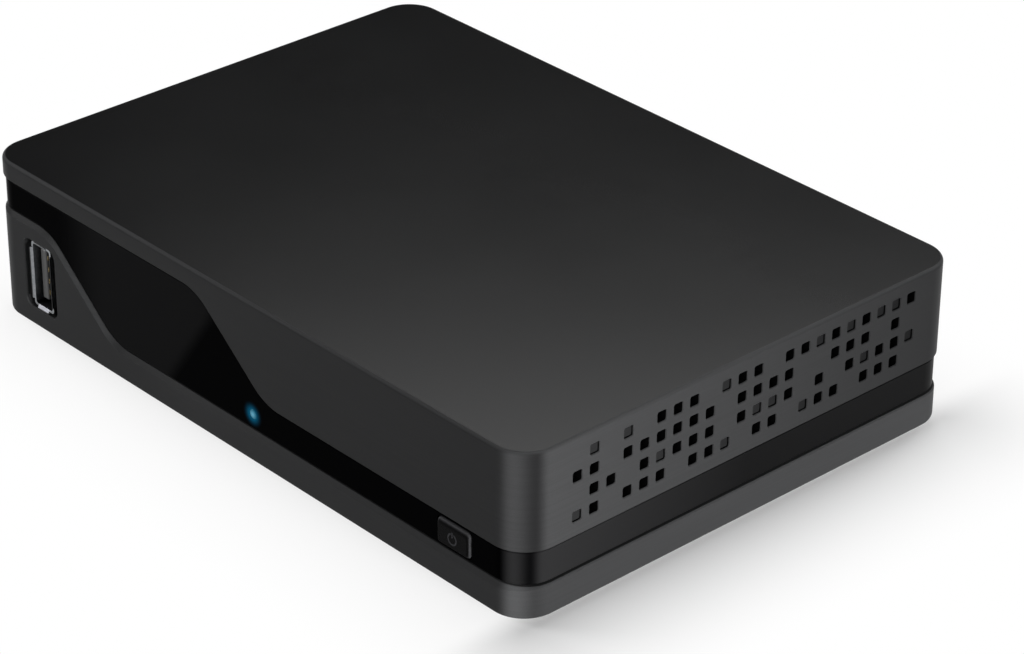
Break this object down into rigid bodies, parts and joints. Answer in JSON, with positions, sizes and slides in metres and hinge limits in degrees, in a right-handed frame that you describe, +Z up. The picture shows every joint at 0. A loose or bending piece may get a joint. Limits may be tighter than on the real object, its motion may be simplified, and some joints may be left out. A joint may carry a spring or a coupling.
{
  "type": "tv decoder box",
  "caption": "Small flat television decoder: two dark plastic shells interlock in a sloping line round a glossy band, with side vents, a front USB port, a push button and rear sockets.",
  "frame": {"origin": "on the surface that the feet stand on, below the middle of the whole object", "axes": "+X to the right seen from the front, the front faces -Y, +Z up"},
  "size_m": [0.1468, 0.1128, 0.0328],
  "materials": {
    "shell": "fine satin grain",
    "gloss_band": "polished, lets infrared light through",
    "rear_panel": "fine grain",
    "button": "satin",
    "rubber": "matte",
    "circuit_board": "solder mask",
    "chip": "moulded",
    "steel": "tin plated",
    "aluminium": "plain",
    "brass": "gold plated",
    "white_plastic": "moulded",
    "grey_plastic": "moulded",
    "thermal_pad": "soft",
    "status_light": "lit from behind",
    "ribbon": "ribbed"
  },
  "bodies": {
    "case": {"upper_shell": "shell", "lower_shell": "shell", "band_frame": "gloss_band", "rear_panel": "rear_panel", "power_switch_body": "steel", "status_light_pipe": "status_light", "status_led": "status_light", "infrared_receiver": "chip", "front_board": "circuit_board", "front_board_header": "white_plastic", "flat_cable": "ribbon", "main_board_header": "white_plastic", "main_board": "circuit_board", "main_processor": "chip", "thermal_pad": "thermal_pad", "heat_sink": "aluminium", "memory_chip_1": "chip", "memory_chip_2": "chip", "flash_chip": "chip", "clock_crystal": "steel", "network_transformer": "chip", "power_coil_1": "chip", "power_coil_2": "chip", "capacitor_1": "aluminium", "capacitor_2": "aluminium", "capacitor_3": "aluminium", "capacitor_4": "aluminium", "tuner_can": "steel", "aerial_socket": "steel", "aerial_insulator": "white_plastic", "network_socket": "steel", "network_contacts": "brass", "screen_socket": "steel", "screen_tongue": "chip", "sound_socket": "chip", "power_inlet": "chip", "power_inlet_pin": "brass", "usb_port_shell": "steel", "usb_port_tongue": "grey_plastic", "case_screw_front_left": "steel", "case_screw_front_right": "steel", "case_screw_rear_left": "steel", "case_screw_rear_right": "steel", "board_screw_front_left": "steel", "board_screw_front_right": "steel", "board_screw_rear_left": "steel", "board_screw_rear_right": "steel", "foot_front_left": "rubber", "foot_front_right": "rubber", "foot_rear_left": "rubber", "foot_rear_right": "rubber"},
    "button": {"power_button": "button"},
    "plunger": {"power_switch_plunger": "chip"}
  },
  "joints": [
    {"name": "power_button_push", "type": "slide", "parent": "case", "child": "button", "axis": [0, 1, 0], "range_m": [0, 0.0006], "stiffness_N_per_m": 300, "springref_m": -0.0008},
    {"name": "switch_plunger_push", "type": "slide", "parent": "case", "child": "plunger", "axis": [0, 1, 0], "range_m": [0, 0.0003]}
  ],
  "couplings": [
    {"joint": "switch_plunger_push", "follows": "power_button_push", "ratio": 0.5}
  ]
}
